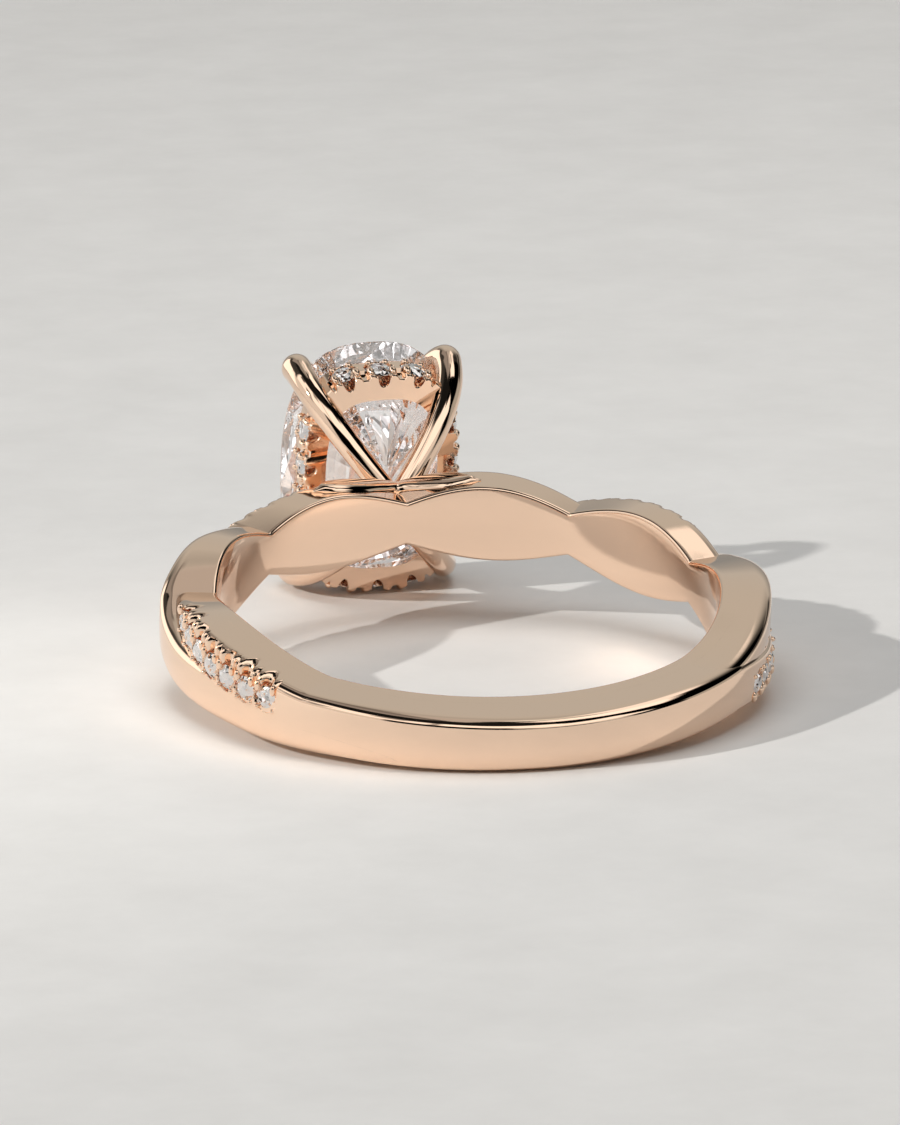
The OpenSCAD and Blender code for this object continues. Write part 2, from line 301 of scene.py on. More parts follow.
def half_width(a):
    """Half a strand's width, which grows from the last crossing to the full palm side."""
    return STRAND_HALF + (PALM_HALF - STRAND_HALF) * smooth((abs(a) - TWIST_END) / (FULL_PALM - TWIST_END))


def shank_top(a):
    """The upper side face: that of the strand that lies higher."""
    return half_width(a) + np.maximum(polished_z(a), stone_set_z(a))


def shank_bottom(a):
    """The lower side face: that of the strand that lies lower."""
    return np.minimum(polished_z(a), stone_set_z(a)) - half_width(a)


def change(a, first, degrees):
    """0 up to the first angle and 1 that many degrees after it."""
    return smooth((a - first) / degrees)


def merged_left(a):
    """0 up to the last stones of the left row and 1 where the palm side begins there."""
    return change(-a, *WALLS_MERGE)


def strand_z(a, strand):
    """Height of either strand's middle line."""
    return polished_z(a) if strand == POLISHED else stone_set_z(a)


def strand_half(a, strand):
    """Half a strand's width. It is one or two hairs less than the lining's, so that no two faces coincide.
    Along the palm side the polished strand lies inside the stone-set one."""
    return half_width(a) - HAIR * (1 if strand == STONE_SET else 2)


def edge_r(a, side, strand):
    """The round of a strand's edge. On the left of the palm the stone-set strand's lower edge is only as
    round as keeps it inside the polished strand's edge, which lies lower there."""
    if strand == POLISHED or side > 0:
        return EDGE_R + 0 * a
    lower = np.clip((stone_set_z(a) - polished_z(a)) * merged_left(a), 0, EDGE_R)
    return np.maximum(EDGE_R - np.sqrt(EDGE_R ** 2 - (EDGE_R - lower) ** 2), LEAST_ROUND)


def edge_fall(a, into, round_r):
    """How far an edge falls short of its corner: a quarter of an ellipse, wider over the side face than
    down the wall, and wider still along the palm side."""
    palm = np.where(a < 0, change(-a, *PALM_EDGE_LEFT), change(a, *PALM_EDGE_RIGHT))
    stretch = EDGE_STRETCH + (PALM_STRETCH - EDGE_STRETCH) * palm
    return stretch * (round_r - np.sqrt(round_r ** 2 - into ** 2))


def strand_r(a, off, strand):
    """A strand's radius at a height off its middle line: its wall, crowned a little, with edges that are
    quarters of an ellipse, wider over the side faces. On the left of the palm both walls are the same."""
    half = strand_half(a, strand)
    wall = table_curve(WALL, strand, abs(a))
    if strand == POLISHED:
        wall = wall + (table_curve(WALL, STONE_SET, abs(a)) - wall) * merged_left(a)
        wall = wall - LEAST_ROUND * change(abs(a), *POLISHED_SINKS)
    round_r = np.where(off > 0, edge_r(a, 1, strand), edge_r(a, -1, strand))
    into = np.clip(abs(off) - half + round_r, 0, round_r)
    return INNER_R + wall - FACE_CROWN * (off / half) ** 2 - edge_fall(a, into, round_r)


def row_places():
    """Angle and height of each stone of the shank's rows, both sides."""
    places = []
    for side in (-1, 1):
        for a in side * np.linspace(*NEAR_ROW):
            places.append((a, float(stone_set_z(a))))
        for a in np.linspace(*FAR_ROW):
            t = (a - FAR_ROW[0]) / (FAR_ROW[1] - FAR_ROW[0])
            z = FAR_ROW_Z[1] + (FAR_ROW_Z[0] - FAR_ROW_Z[1]) * (1 - t) ** FAR_ROW_BEND
            places.append((side * a, -side * z))
    return np.array(places)


ROW_PLACES = row_places()

# The seats and the comb in the stone-set strand
SEAT_R = 0.45
SEAT_DEPTH = 0.3
CUT_HALF = 0.2
CUT_DEPTH = 0.36
PRONG_AT = 0.335
PRONG_R = 0.12
NEAR_REACH = 0.66
FAR_REACH = 0.92
EDGE_NOTCH = 0.3
COMB_FROM = 0.15
COMB_BLEND = 0.1
CUT_BLEND = 0.05
CUT_ARC = 4


def within(radius, distance):
    """1 inside a radius and 0 outside it, with a step as wide as CUT_BLEND between them."""
    return smooth((radius - distance) / CUT_BLEND + 0.5)


def teeth(along, cut_half, cut_depth, prong_at, prong_r):
    """Depth of a row's comb against the distance from a stone's middle: a round-bottomed U before the
    stone, then a round prong on both sides of it, which leaves a groove between two stones' prongs."""
    off = abs(along)
    hollow = cut_depth * np.sqrt(np.clip(1 - (off / cut_half) ** 2, 0, None))
    prong = prong_r - np.sqrt(np.clip(prong_r ** 2 - (off - prong_at) ** 2, 0, None))
    return np.where(off < cut_half, hollow, prong)


def stone_cuts(a, z, r):
    """Depth cut out of the stone-set strand: a round seat under each stone, and the comb over it towards
    the strand's side faces, on the palm side towards the nearer one only."""
    depth = np.zeros_like(r)
    half_pitch = np.radians(np.diff(np.linspace(*NEAR_ROW))[0]) / 2
    for place_a, place_z in ROW_PLACES:
        near = np.abs(a[:, 0] - place_a) < CUT_ARC
        aa, zz, rr = a[near], z[near], r[near]
        along = np.radians(aa - place_a) * rr
        up = zz - place_z
        seat = SEAT_DEPTH * within(SEAT_R, np.hypot(along, up))
        comb = teeth(along, CUT_HALF, CUT_DEPTH, PRONG_AT, PRONG_R) * (abs(along) < half_pitch * rr)
        palm_side = abs(place_a) > TWIST_END
        open_side = np.sign(place_z) * up > 0 if palm_side else 1
        reach = FAR_REACH if palm_side else NEAR_REACH
        beyond = 0 if palm_side else EDGE_NOTCH
        comb = comb * smooth((abs(up) - COMB_FROM) / COMB_BLEND) * open_side
        comb = comb * (beyond + (1 - beyond) * smooth((reach - abs(up)) / CUT_BLEND))
        depth[near] = np.maximum(depth[near], np.maximum(seat, comb))
    return depth


def strand_angles(strand):
    """Stations round the finger, close together where stones are set."""
    if strand == POLISHED:
        return np.arange(-180, 180, POLISHED_STEP)
    half = [np.arange(*run) for run in STONE_SET_RUNS] + [np.linspace(*PALM_RUN)]
    half = np.unique(np.concatenate(half))
    return np.concatenate([half, -half[-2:0:-1]])


def strand_shape(strand):
    """A strand as rings of section points: out over the upper side face, down over the outside with its two
    round edges, and back in over the lower side face."""
    a = strand_angles(strand)[:, None]
    half = strand_half(a, strand)
    middle = strand_z(a, strand)
    turn = np.linspace(np.pi / 2, 0, EDGE_POINTS)
    upper = half - edge_r(a, 1, strand) * (1 - np.sin(turn))
    lower = -half + edge_r(a, -1, strand) * (1 - np.sin(turn[::-1]))
    even = np.linspace(0, 1, OUTSIDE_POINTS[strand])[1:-1]
    off = np.concatenate([upper, upper[:, -1:] + (lower[:, :1] - upper[:, -1:]) * even, lower], 1)
    r = strand_r(a + 0 * off, off, strand)
    z = middle + off
    if strand == STONE_SET:
        r = r - stone_cuts(a + 0 * off, z, r)
    core_r = INNER_R + LINING / 2
    top, bottom = middle + half, middle - half
    face_t = np.linspace(0, 1, FACE_POINTS)[:-1]
    section = np.concatenate([
        np.stack([core_r + (r[:, :1] - core_r) * face_t, top + 0 * face_t], -1),
        np.stack([r, z], -1),
        np.stack([core_r + (r[:, -1:] - core_r) * face_t[::-1], bottom + 0 * face_t], -1)], 1)
    return round_the_finger(a, section)


def turned_round(a, r, z):
    """Points at a distance from the finger's axis and a height: x and y are r times the angle's sine and
    cosine."""
    turn = np.radians(a)
    return np.stack([r * np.sin(turn), r * np.cos(turn), z], -1)


def round_the_finger(a, section):
    """A closed band of sections, each turned to its angle."""
    points = turned_round(a, section[..., 0], section[..., 1])
    return points.reshape(-1, 3), grid_faces(len(a), section.shape[1], True, True)


def lining_shape():
    """The finger hole's wall, as high as both strands together, with its two rims as quarters of a circle.
    It reaches out under the strands' side faces, which start inside it."""
    a = np.arange(-180, 180, LINING_STEP)[:, None]
    top, bottom = shank_top(a), shank_bottom(a)
    rim = np.linspace(0, np.pi / 2, RIM_POINTS)
    rim_r = INNER_R + RIM_R * (1 - np.cos(rim)) + 0 * a
    rim_in = RIM_R * (1 - np.sin(rim))
    wall_t = np.linspace(0, 1, LINING_POINTS)[1:-1]
    wall_r = INNER_R + 0 * a + 0 * wall_t
    outer = INNER_R + LINING + 0 * a
    section = np.concatenate([
        np.stack([wall_r, bottom + RIM_R + (top - bottom - 2 * RIM_R) * wall_t], -1),
        np.stack([rim_r, top - rim_in], -1),
        np.stack([outer - LINING_FACE, top + 0 * LINING_FACE], -1),
        np.stack([outer - LINING_FACE[::-1], bottom + 0 * LINING_FACE], -1),
        np.stack([rim_r[:, ::-1], bottom + rim_in[::-1]], -1)], 1)
    return round_the_finger(a, section)


# Round pieces

BALL_RINGS = 9
BALL_SIDES = 14


def ball(at, radii, axes):
    """An ellipsoid: a sphere's points, from its cosines and sines of latitude and longitude, times radii
    along three axes."""
    lat = np.linspace(-np.pi / 2, np.pi / 2, BALL_RINGS)[:, None]
    lon = np.linspace(0, 2 * np.pi, BALL_SIDES, endpoint=False)[None, :]
    p = np.stack([np.cos(lat) * np.cos(lon), np.cos(lat) * np.sin(lon), np.sin(lat) + 0 * lon], -1) * radii
    return (p @ axes + at).reshape(-1, 3), grid_faces(BALL_RINGS, BALL_SIDES, False, True)


def tube(path, radius, sides, aside):
    """A round bar along a path with a domed last end. Each ring lies square to the path, and its first
    point square to a way aside of it too."""
    heading = unit(np.gradient(path, axis=0))
    across = unit(np.cross(heading, aside))
    up = np.cross(across, heading)
    dome = np.linspace(0, np.pi / 2, DOME_RINGS)[1:]
    path = np.concatenate([path, path[-1] + heading[-1] * radius[-1] * np.sin(dome)[:, None]])
    ring_r = np.concatenate([radius, radius[-1] * np.cos(dome)])
    across = np.concatenate([across, np.repeat(across[-1:], len(dome), 0)])
    up = np.concatenate([up, np.repeat(up[-1:], len(dome), 0)])
    t = np.linspace(0, 2 * np.pi, sides, endpoint=False)[None, :, None]
    points = path[:, None] + ring_r[:, None, None] * (np.cos(t) * across[:, None] + np.sin(t) * up[:, None])
    faces = [grid_faces(len(path), sides, False, True), np.arange(sides)[None, ::-1]]
    return points.reshape(-1, 3), faces


def claw_shape():
    """A claw: one quadratic bow from the shank to the shoulder, and a hook over the crown. It thickens
    from its foot to its tip."""
    t = np.linspace(0, 1, BOW_POINTS)[:, None]
    bow = (1 - t) ** 2 * CLAW_FOOT + 2 * t * (1 - t) * CLAW_BOW + t * t * CLAW_SHOULDER
    line = np.concatenate([bow, CLAW_HOOK])
    run = np.concatenate([[0], np.cumsum(np.linalg.norm(np.diff(line, axis=0), axis=1))])
    table = np.column_stack([run, line])
    shoulder = run[BOW_POINTS - 1]
    even = np.linspace(0, run[-1], CLAW_RINGS)
    path = np.stack([table_curve(table, k, even, flat_ends=False) for k in (1, 2, 3)], -1)
    radius = CLAW_FOOT_R + (CLAW_R - CLAW_FOOT_R) * smooth(even / shoulder)
    radius += (CLAW_TIP_R - CLAW_R) * smooth((even - shoulder) / (run[-1] - shoulder) + TIP_SWELL_AT)
    return tube(path, radius, CLAW_SIDES, CLAW_ASIDE)


def leaf_shape():
    """A claw's foot: a leaf on the shank's side face, with its root inside. Its back is a superellipse,
    which is lower where the leaf is narrow."""
    a = np.linspace(FOOT_LEAF[0, 0], FOOT_LEAF[-1, 0], FOOT_STATIONS)[:, None]
    inner = INNER_R + table_curve(FOOT_LEAF, 1, a)
    outer = INNER_R + table_curve(FOOT_LEAF, 2, a)
    side = shank_top(a)
    proud = FOOT_PROUD * np.clip((outer - inner) / FOOT_FULL_WIDTH, 0, 1)
    t = np.linspace(-1, 1, FOOT_POINTS)
    back = np.sqrt(np.clip(1 - abs(t) ** FOOT_BACK_POWER, 0, None))
    root = side - FOOT_ROOT
    r = np.concatenate([inner, inner + (outer - inner) * (t + 1) / 2, outer], 1)
    z = np.concatenate([root, side - FOOT_TUCK + (proud + FOOT_TUCK) * back, root], 1)
    points = turned_round(a, r, z)
    cols = points.shape[1]
    end = np.arange(cols)[None]
    faces = [grid_faces(len(a), cols, False, True), end[:, ::-1], (len(a) - 1) * cols + end]
    return points.reshape(-1, 3), faces


# The hidden halo

# Points along which an outline's length is measured, stations from one place of the halo to the next, and
# how many stations off a place the wall's way there is measured
OUTLINE_POINTS = 20001
STATIONS_TO_PLACE = 40
STATIONS_BESIDE = 6
HALO_STEPS = HALO_COUNT * STATIONS_TO_PLACE

# Points of the halo's section: down the outside, under the foot, up the inside and over the top
HALO_OUTSIDE_POINTS = 44
HALO_FOOT_POINTS = 5
HALO_INSIDE_POINTS = 8
HALO_TOP_POINTS = 4

# The halo's bevel, and the seats and the comb in its wall
HALO_BEVEL = 0.05
HALO_COMB_FROM = 0.1
HALO_SEAT_DEPTH = 0.34
HALO_CUT_DEPTH = 0.42
HALO_CUT_HALF = 0.23
HALO_SEAT_R = 0.53
HALO_PRONG_AT = 0.38
HALO_PRONG_R = 0.15

# Beads to each side of a halo stone's middle: how far along the wall, up and outwards they lie, and their
# radii along the wall, outwards and up
HALO_BEADS = [((0.4, -0.3, -0.03), (0.14, 0.17, 0.26)), ((0.3, 0.43, -0.02), (0.13, 0.15, 0.13))]


def power(v, n):
    """A value's size to a power, with the value's sign."""
    return np.sign(v) * abs(v) ** n


def cushion(half, t, n):
    """A superellipse: half widths times the cosine and the sine, each to the power 2 / n."""
    return np.stack([half[0] * power(np.cos(t), 2 / n), half[1] * power(np.sin(t), 2 / n)], -1)


def even_turns(half, n, count):
    """Parameters of a cushion's outline at even steps along it, from the end nearest +z."""
    t = np.pi / 2 + np.linspace(0, 2 * np.pi, OUTLINE_POINTS)
    run = np.concatenate([[0], np.cumsum(np.linalg.norm(np.diff(cushion(half, t, n), axis=0), axis=1))])
    return np.interp(np.linspace(0, run[-1], count, endpoint=False), run, t), run[-1]


def halo_frame(i):
    """A halo stone's place on the outline, at the stones' level, and the ways along the wall there, up and
    out of it. The way out is square to the line between two stations beside the place."""
    t, _ = even_turns(HALO_HALF, HALO_POWER, HALO_STEPS)
    ring = cushion(HALO_HALF, t, HALO_POWER)
    k = i * STATIONS_TO_PLACE
    step = ring[(k + STATIONS_BESIDE) % len(ring)] - ring[k - STATIONS_BESIDE]
    out = unit(np.array([step[1], -step[0]]))
    out = np.array([out[0], 0, out[1]])
    level = np.array([0, 1.0, 0])
    return np.array([ring[k][0], HALO_STONE_Y, ring[k][1]]), np.cross(level, out), level, out


def halo_shape():
    """The halo's wall as rings of section points: down the outside, which is cut back by a round seat
    behind each stone and by the comb below it, in under the foot, up inside and out over the top."""
    t, length = even_turns(HALO_HALF, HALO_POWER, HALO_STEPS)
    edge = cushion(HALO_HALF, t, HALO_POWER)
    step = np.roll(edge, -2, 0) - np.roll(edge, 2, 0)
    out = unit(np.stack([step[:, 1], -step[:, 0]], -1))
    s = np.linspace(0, length, HALO_STEPS, endpoint=False)[:, None]
    top_y = HALO_FOOT_Y + HALO_H
    y = np.linspace(top_y, HALO_FOOT_Y, HALO_OUTSIDE_POINTS)[None, :]
    up = y - HALO_STONE_Y
    depth = np.zeros((HALO_STEPS, HALO_OUTSIDE_POINTS))
    for i in HALO_PLACES:
        along = (s - i * length / HALO_COUNT + length / 2) % length - length / 2
        seat = HALO_SEAT_DEPTH * within(HALO_SEAT_R, np.hypot(along, up))
        comb = teeth(along, HALO_CUT_HALF, HALO_CUT_DEPTH, HALO_PRONG_AT, HALO_PRONG_R)
        own_place = abs(along) < length / (2 * HALO_COUNT)
        comb = comb * own_place * smooth((-up - HALO_COMB_FROM) / COMB_BLEND)
        depth = np.maximum(depth, np.maximum(seat, comb))
    bevel = np.clip(HALO_BEVEL - np.minimum(y - HALO_FOOT_Y, top_y - y), 0, None)
    outside = edge[:, None] - (depth + bevel)[..., None] * out[:, None]
    outside = np.stack([outside[..., 0], y + 0 * depth, outside[..., 1]], -1)
    foot_in = cushion(np.subtract(HALO_HALF, HALO_FOOT_WALL), t, HALO_POWER)
    top_in = cushion(np.subtract(HALO_HALF, HALO_TOP_WALL), t, HALO_POWER)

    def between(first, last, first_y, last_y, count, ends):
        """Points on straight lines from one outline to another one at its own level, with both outlines'
        own points where ends asks for them."""
        k = np.linspace(0, 1, count)[None, :, None]
        if not ends:
            k = k[:, 1:-1]
        flat = first[:, None] * (1 - k) + last[:, None] * k
        level = first_y * (1 - k[..., 0]) + last_y * k[..., 0] + 0 * flat[..., 0]
        return np.stack([flat[..., 0], level, flat[..., 1]], -1)

    foot_out, top_out = outside[:, -1][:, [0, 2]], outside[:, 0][:, [0, 2]]
    foot = between(foot_out, foot_in, HALO_FOOT_Y, HALO_FOOT_Y, HALO_FOOT_POINTS, False)
    inside = between(foot_in, top_in, HALO_FOOT_Y, top_y, HALO_INSIDE_POINTS, True)
    top = between(top_in, top_out, top_y, top_y, HALO_TOP_POINTS, False)
    points = np.concatenate([outside, foot, inside, top], 1)
    return points.reshape(-1, 3), grid_faces(HALO_STEPS, points.shape[1], True, True)


def halo_beads():
    """Four beads to each halo stone: two long ones below its middle and two round ones above it."""
    shapes = []
    for i in HALO_PLACES:
        middle, along, level, out = halo_frame(i)
        for side in (-1, 1):
            for (aside, above, outwards), radii in HALO_BEADS:
                at = middle + side * aside * along + above * level + outwards * out
                shapes.append(ball(at, radii, np.array([along, out, level])))
    return joined(shapes)


def strand_axes(a):
    """Ways at an angle round the finger: along the strand, outwards and along the finger."""
    t = np.radians(a)
    return np.array([(np.cos(t), -np.sin(t), 0), (np.sin(t), np.cos(t), 0), (0, 0, 1)])


# Prongs over the shank stones' edges: how deep and how far off the stone's middle they lie, and their
# radii along the strand, outwards and along the finger
PRONG_SINK = 0.04
PRONG_OFF = 0.37
NEAR_PRONG = (0.1, 0.1, 0.16)
LONG_PRONG = (0.105, 0.13, 0.2)
ROUND_PRONG = (0.09, 0.12, 0.09)


def stone_set_r(a):
    """Radius of the stone-set strand's outside."""
    return INNER_R + float(table_curve(WALL, STONE_SET, abs(a)))


def shank_prongs():
    """Four ellipsoids over the edge of each stone. On the palm side long ones end the comb, and small round
    ones lie where the row's side is closed."""
    shapes = []
    for a, z in ROW_PLACES:
        along, out, up = axes = strand_axes(a)
        r = stone_set_r(a) - PRONG_SINK
        for side in (-1, 1):
            for edge in (-1, 1):
                radii = NEAR_PRONG
                if abs(a) > TWIST_END:
                    radii = LONG_PRONG if edge == np.sign(z) else ROUND_PRONG
                at = side * PRONG_AT * along + r * out + (z + edge * PRONG_OFF) * up
                shapes.append(ball(at, radii, axes))
    return joined(shapes)


# Cut stones

# How far the crown and the pavilion swell over straight lines from the table to the girdle and the keel
CROWN_SWELL = 1.12
PAVILION_SWELL = 1.06


def ring_points(outline, share, level):
    """An outline times a share, at a level."""
    return np.stack([outline[:, 0] * share[0], np.full(len(outline), level), outline[:, 1] * share[1]], -1)


def brilliant(outline_at, crown, girdle, pavilion, table, keel, mains, crown_share, lower_depth):
    """A cut stone on an outline, table up along +y. Its crown has a table with mains sides, a star to each
    side, kites and upper girdle facets. Its pavilion has long lower girdle facets and mains down to the
    keel. Shares give a ring's size against the girdle's."""
    n, belt = mains, 4 * mains
    tips = outline_at(2 * np.pi * np.arange(n) / n)
    corners = outline_at(2 * np.pi * (np.arange(n) + 0.5) / n)
    rim = outline_at(2 * np.pi * np.arange(belt) / belt)
    fine = outline_at(2 * np.pi * np.arange(2 * n) / (2 * n))
    whole = np.ones(2)
    table, keel = np.array(table), np.array(keel)
    star = table + (whole - table) * crown_share
    low = keel + (whole - keel) * (1 - lower_depth)
    points = np.concatenate([
        ring_points(corners, table, crown),
        ring_points(tips, star, crown * (1 - crown_share) * CROWN_SWELL),
        ring_points(rim, whole, girdle / 2),
        ring_points(rim, whole, -girdle / 2),
        ring_points(fine, low * PAVILION_SWELL, -girdle / 2 - (pavilion - girdle / 2) * lower_depth),
        ring_points(corners, keel, -pavilion)])
    at_table, at_star, at_top, at_foot, at_low, at_keel = np.cumsum([0, n, n, belt, belt, 2 * n])
    k = np.arange(n)
    after = (k + 1) % n
    before = (k - 1) % n
    corner = (2 * k + 2) % (2 * n)
    faces = [(at_table + k)[None, ::-1]]
    faces.append(np.stack([at_table + before, at_table + k, at_star + k], -1))
    faces.append(np.stack([at_table + k, at_star + after, at_top + 4 * k + 2, at_star + k], -1))
    for j in (0, 1):
        ahead, behind = (4 * k + j) % belt, (4 * k - j) % belt
        faces.append(np.stack([at_star + k, at_top + (ahead + 1) % belt, at_top + ahead], -1))
        faces.append(np.stack([at_star + k, at_top + behind, at_top + (behind - 1) % belt], -1))
    r = np.arange(belt)
    faces.append(np.stack([at_top + r, at_top + (r + 1) % belt, at_foot + (r + 1) % belt, at_foot + r], -1))
    q = np.arange(2 * n)
    faces.append(np.stack([at_foot + 2 * q, at_foot + 2 * q + 1, at_low + q], -1))
    faces.append(np.stack([at_foot + (2 * q - 1) % belt, at_foot + 2 * q, at_low + q], -1))
    faces.append(np.stack([at_low + q, at_foot + 2 * q + 1, at_low + (q + 1) % (2 * n)], -1))
    faces.append(np.stack([at_low + 2 * k, at_low + 2 * k + 1, at_keel + k], -1))
    faces.append(np.stack([at_low + 2 * k + 1, at_low + corner, at_keel + k], -1))
    faces.append(np.stack([at_keel + k, at_low + corner, at_keel + after], -1))
    faces.append((at_keel + k)[None])
    return points, faces


def centre_stone_shape():
    """The elongated cushion cut, its girdle at its level in the head."""
    def outline(t):
        return cushion(CENTRE_HALF, t, CUSHION_POWER)

    points, faces = brilliant(outline, crown=0.92, girdle=0.1, pavilion=2.75, table=(0.6, 0.62),
                              keel=(0.04, 0.2), mains=16, crown_share=0.45, lower_depth=0.55)
    return points + (0, GIRDLE_Y, 0), faces


def small_stone(d):
    """A round cut, with its heights in shares of its width."""
    def outline(t):
        return np.stack([np.cos(t), np.sin(t)], -1) * d / 2

    return brilliant(outline, crown=0.16 * d, girdle=0.03 * d, pavilion=0.38 * d, table=(0.56, 0.56),
                     keel=(0.02, 0.02), mains=8, crown_share=0.45, lower_depth=0.7)


def set_down(shape, at, across, out, along):
    """A stone drawn with its table along +y, moved to a place with its table outwards."""
    points, faces = shape
    return points @ np.array([across, out, along]) + at, faces


def halo_stone_shape(i):
    """A halo stone at its place, sunk into the wall."""
    middle, along, level, out = halo_frame(i)
    return set_down(small_stone(HALO_STONE_D), middle - STONE_SINK * out, -along, out, level)


def shank_stones_shape(side):
    """The stones of both rows on one side of the ring, sunk into their strand."""
    shapes = []
    for a, z in ROW_PLACES:
        if np.sign(a) == side:
            axes = strand_axes(a)
            place = (stone_set_r(a) - STONE_SINK) * axes[1] + z * axes[2]
            shapes.append(set_down(small_stone(SHANK_STONE_D), place, *axes))
    return joined(shapes)


# Finishes. Clouds and ripple are noise, by its features to the metre, its detail and its roughness.

GOLD_COLOUR = (0.95, 0.70, 0.53, 1)
GOLD_ROUGHNESS = (0.035, 0.075)
GOLD_CLOUDS = (900, 4)
GOLD_RIPPLE = (2500, 3)
RIPPLE_STRENGTH = 0.02
RIPPLE_DEPTH = 0.00005
NOISE_RANGE = (0.3, 0.7)
CENTRE_TINT = (0.99, 0.98, 0.985, 1)
SMALL_TINT = (0.95, 0.945, 0.95, 1)
SMALL_LUSTRE = 0.65
DIAMOND_IOR = 2.42
MOSAIC_CELLS = 8000
MOSAIC_LEAN = 1.1
FLOOR_DARKER = (0.765, 0.755, 0.735, 1)
FLOOR_LIGHTER = (0.825, 0.815, 0.795, 1)
FLOOR_CLOUDS = (200, 7, 0.65)
FLOOR_ROUGHNESS = 0.75


def material(name):
    """A new material, its nodes and its shader."""
    made = bpy.data.materials.new(name)
    made.use_nodes = True
    tree = made.node_tree
    return made, tree, tree.nodes["Principled BSDF"]


def noise(tree, scale, detail, rough=0.5):
    """Noise on the object's own coordinates; scale is in features to the metre."""
    place = tree.nodes.new("ShaderNodeTexCoord")
    made = tree.nodes.new("ShaderNodeTexNoise")
    made.inputs["Scale"].default_value = scale
    made.inputs["Detail"].default_value = detail
    made.inputs["Roughness"].default_value = rough
    tree.links.new(place.outputs["Object"], made.inputs["Vector"])
    return made.outputs["Fac"]


def spread(tree, value, low, high):
    """Noise stretched in a straight line from its usual range to another one."""
    made = tree.nodes.new("ShaderNodeMapRange")
    made.inputs["From Min"].default_value = NOISE_RANGE[0]
    made.inputs["From Max"].default_value = NOISE_RANGE[1]
    made.inputs["To Min"].default_value = low
    made.inputs["To Max"].default_value = high
    tree.links.new(value, made.inputs["Value"])
    return made.outputs["Result"]


def rose_gold():
    """Polished rose gold: a warm mirror with faint clouds of polish and the finest ripple."""
    made, tree, shader = material("rose_gold_polish")
    shader.inputs["Metallic"].default_value = 1.0
    shader.inputs["Base Color"].default_value = GOLD_COLOUR
    polish = spread(tree, noise(tree, *GOLD_CLOUDS), *GOLD_ROUGHNESS)
    tree.links.new(polish, shader.inputs["Roughness"])
    bump = tree.nodes.new("ShaderNodeBump")
    bump.inputs["Strength"].default_value = RIPPLE_STRENGTH
    bump.inputs["Distance"].default_value = RIPPLE_DEPTH
    tree.links.new(noise(tree, *GOLD_RIPPLE), bump.inputs["Height"])
    tree.links.new(bump.outputs["Normal"], shader.inputs["Normal"])
    return made


def mosaic(tree):
    """The facets' normals, leaned another way in each of many small cells: a cell's random colour less a
    half, times the lean, plus the normal."""
    place = tree.nodes.new("ShaderNodeTexCoord")
    cells = tree.nodes.new("ShaderNodeTexVoronoi")
    cells.inputs["Scale"].default_value = MOSAIC_CELLS
    tree.links.new(place.outputs["Object"], cells.inputs["Vector"])
    centred = tree.nodes.new("ShaderNodeVectorMath")
    centred.operation = "SUBTRACT"
    centred.inputs[1].default_value = (0.5, 0.5, 0.5)
    tree.links.new(cells.outputs["Color"], centred.inputs[0])
    leaned = tree.nodes.new("ShaderNodeVectorMath")
    leaned.operation = "MULTIPLY_ADD"
    leaned.inputs[1].default_value = (MOSAIC_LEAN, MOSAIC_LEAN, MOSAIC_LEAN)
    tree.links.new(centred.outputs[0], leaned.inputs[0])
    normal = tree.nodes.new("ShaderNodeNewGeometry")
    tree.links.new(normal.outputs["Normal"], leaned.inputs[2])
    even = tree.nodes.new("ShaderNodeVectorMath")
    even.operation = "NORMALIZE"
    tree.links.new(leaned.outputs[0], even.inputs[0])
    return even.outputs[0]


def diamond(name, tint, lustre, small=False):
    """A clear cut stone with sharp facets; lustre is the share that mirrors the room outright. A small
    stone gets a mosaic of leaned facets."""
    made, tree, shader = material(name)
    shader.inputs["Base Color"].default_value = tint
    shader.inputs["Roughness"].default_value = 0.0
    shader.inputs["IOR"].default_value = DIAMOND_IOR
    shader.inputs["Metallic"].default_value = lustre
    shader.inputs["Transmission Weight"].default_value = 1.0
    if small:
        tree.links.new(mosaic(tree), shader.inputs["Normal"])
    return made


def floor_finish():
    """A matt pale floor with faint clouds."""
    made, tree, shader = material("pale_floor")
    ramp = tree.nodes.new("ShaderNodeValToRGB")
    for element, place, colour in zip(ramp.color_ramp.elements, NOISE_RANGE, (FLOOR_DARKER, FLOOR_LIGHTER)):
        element.position = place
        element.color = colour
    tree.links.new(noise(tree, *FLOOR_CLOUDS), ramp.inputs["Fac"])
    tree.links.new(ramp.outputs["Color"], shader.inputs["Base Color"])
    shader.inputs["Roughness"].default_value = FLOOR_ROUGHNESS
    return made


# The pieces

# Angles in degrees up to which neighbouring faces look smooth
STRAND_SMOOTH = 30
HALO_SMOOTH = 35
CLAW_SMOOTH = 40
BEAD_SMOOTH = 60


def gold_piece(name, shape, smooth_up_to):
    """A piece of the mounting."""
    make_piece(name, shape, gold, ["mounting"], smooth_up_to)


def diamond_piece(name, shape, stone, node):
    """A cut stone, or a row of them, with flat facets."""
    make_piece(name, shape, stone, [node])


